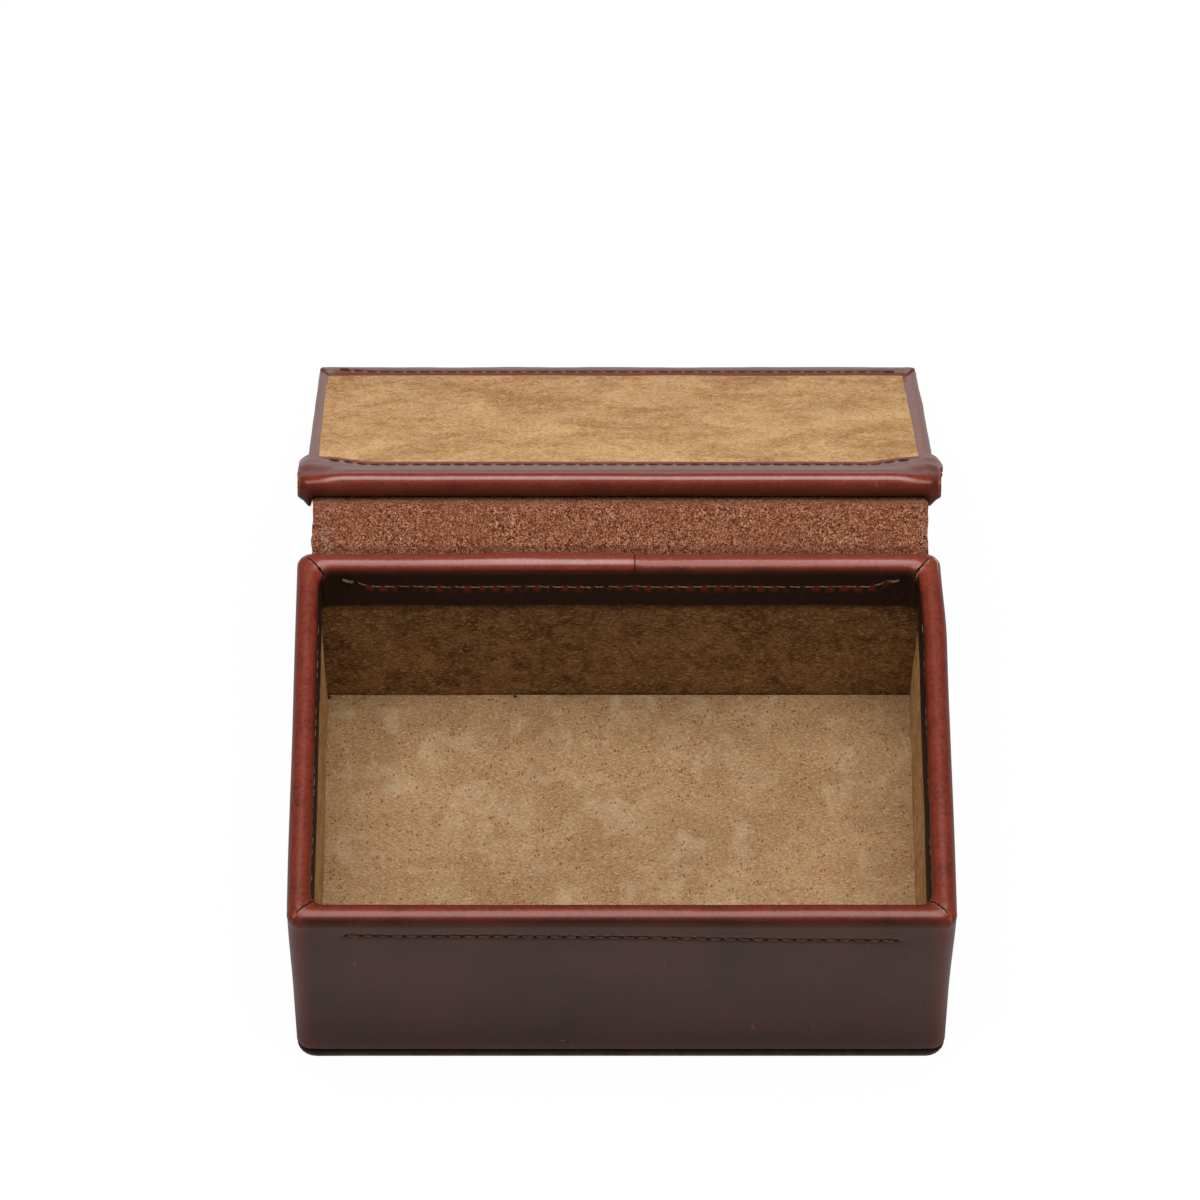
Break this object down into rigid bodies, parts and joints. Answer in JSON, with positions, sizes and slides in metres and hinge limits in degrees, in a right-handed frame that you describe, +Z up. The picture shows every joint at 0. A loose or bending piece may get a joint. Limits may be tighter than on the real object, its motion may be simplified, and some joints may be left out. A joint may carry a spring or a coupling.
{
  "type": "desk box with lift lid",
  "caption": "Leather-covered board box with a suede-lined tray and a lift lid on a leather strip hinge, stored with the lid folded right back.",
  "frame": {"origin": "centre of the box's underside, on the table", "axes": "+X to the right seen from the front, the front wall faces -Y, +Z up"},
  "size_m": [0.233, 0.301, 0.1005],
  "materials": {
    "cover_leather": "smooth waxed full-grain leather, chestnut to oxblood brown, rubbed redder on the rolled edges",
    "hinge_leather": "flesh side up, rough and fibrous, red-brown; grain side smooth dark brown",
    "suede": "tan pigskin suede with a short brushed nap and pore specks",
    "board": "plain thin board",
    "card": "plain grey-brown card",
    "thread": "waxed olive-brown linen thread"
  },
  "bodies": {
    "box": {"base_cover": "cover_leather", "base_board": "board", "front_board": "board", "back_board": "board", "left_board": "board", "right_board": "board", "wall_cover": "cover_leather", "floor_card": "card", "floor_lining": "suede", "front_lining": "suede", "back_lining": "suede", "left_lining": "suede", "right_lining": "suede", "front_stitching": "thread", "back_stitching": "thread", "left_stitching": "thread", "right_stitching": "thread", "hinge_wall_leaf": "hinge_leather"},
    "hinge": {"hinge_span": "hinge_leather"},
    "lid": {"lid_board": "board", "lid_cover": "cover_leather", "lid_lining": "suede", "lid_front_stitching": "thread", "lid_back_stitching": "thread", "hinge_lid_leaf": "hinge_leather"}
  },
  "joints": [
    {"name": "strip_fold", "type": "hinge", "parent": "box", "child": "hinge", "pos_m": [0, 0.0792, 0.085], "axis": [1, 0, 0], "range_deg": [0, 57.6]},
    {"name": "lid_lift", "type": "hinge", "parent": "hinge", "child": "lid", "pos_m": [0, 0.09412, 0.09447], "axis": [1, 0, 0], "range_deg": [0, 160.63]}
  ],
  "couplings": [
    {"joint": "strip_fold", "follows": "lid_lift", "ratio": 0.35859}
  ]
}
